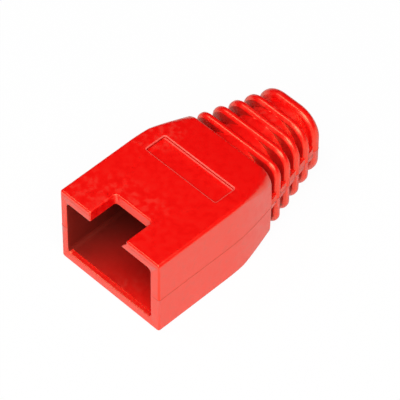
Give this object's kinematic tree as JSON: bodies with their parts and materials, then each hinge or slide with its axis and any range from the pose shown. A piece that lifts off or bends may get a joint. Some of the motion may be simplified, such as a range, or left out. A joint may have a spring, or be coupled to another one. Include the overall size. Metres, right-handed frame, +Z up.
{
  "type": "rj45 strain relief boot",
  "caption": "Soft one-piece boot for a modular network plug: plug socket with latch notch, label recess and a tapered ribbed tail that guards the cable against sharp bends.",
  "frame": {"origin": "middle of the boot's length and width, on the plane of its flat base", "axes": "+Y along the cable axis, from the plug mouth to the tail; +Z up, from the base to the latch side"},
  "size_m": [0.0138, 0.0258, 0.01],
  "materials": {
    "soft_pvc": "soft moulded PVC, matt with a slight sheen"
  },
  "bodies": {
    "root": {"boot": "soft_pvc"}
  },
  "joints": []
}
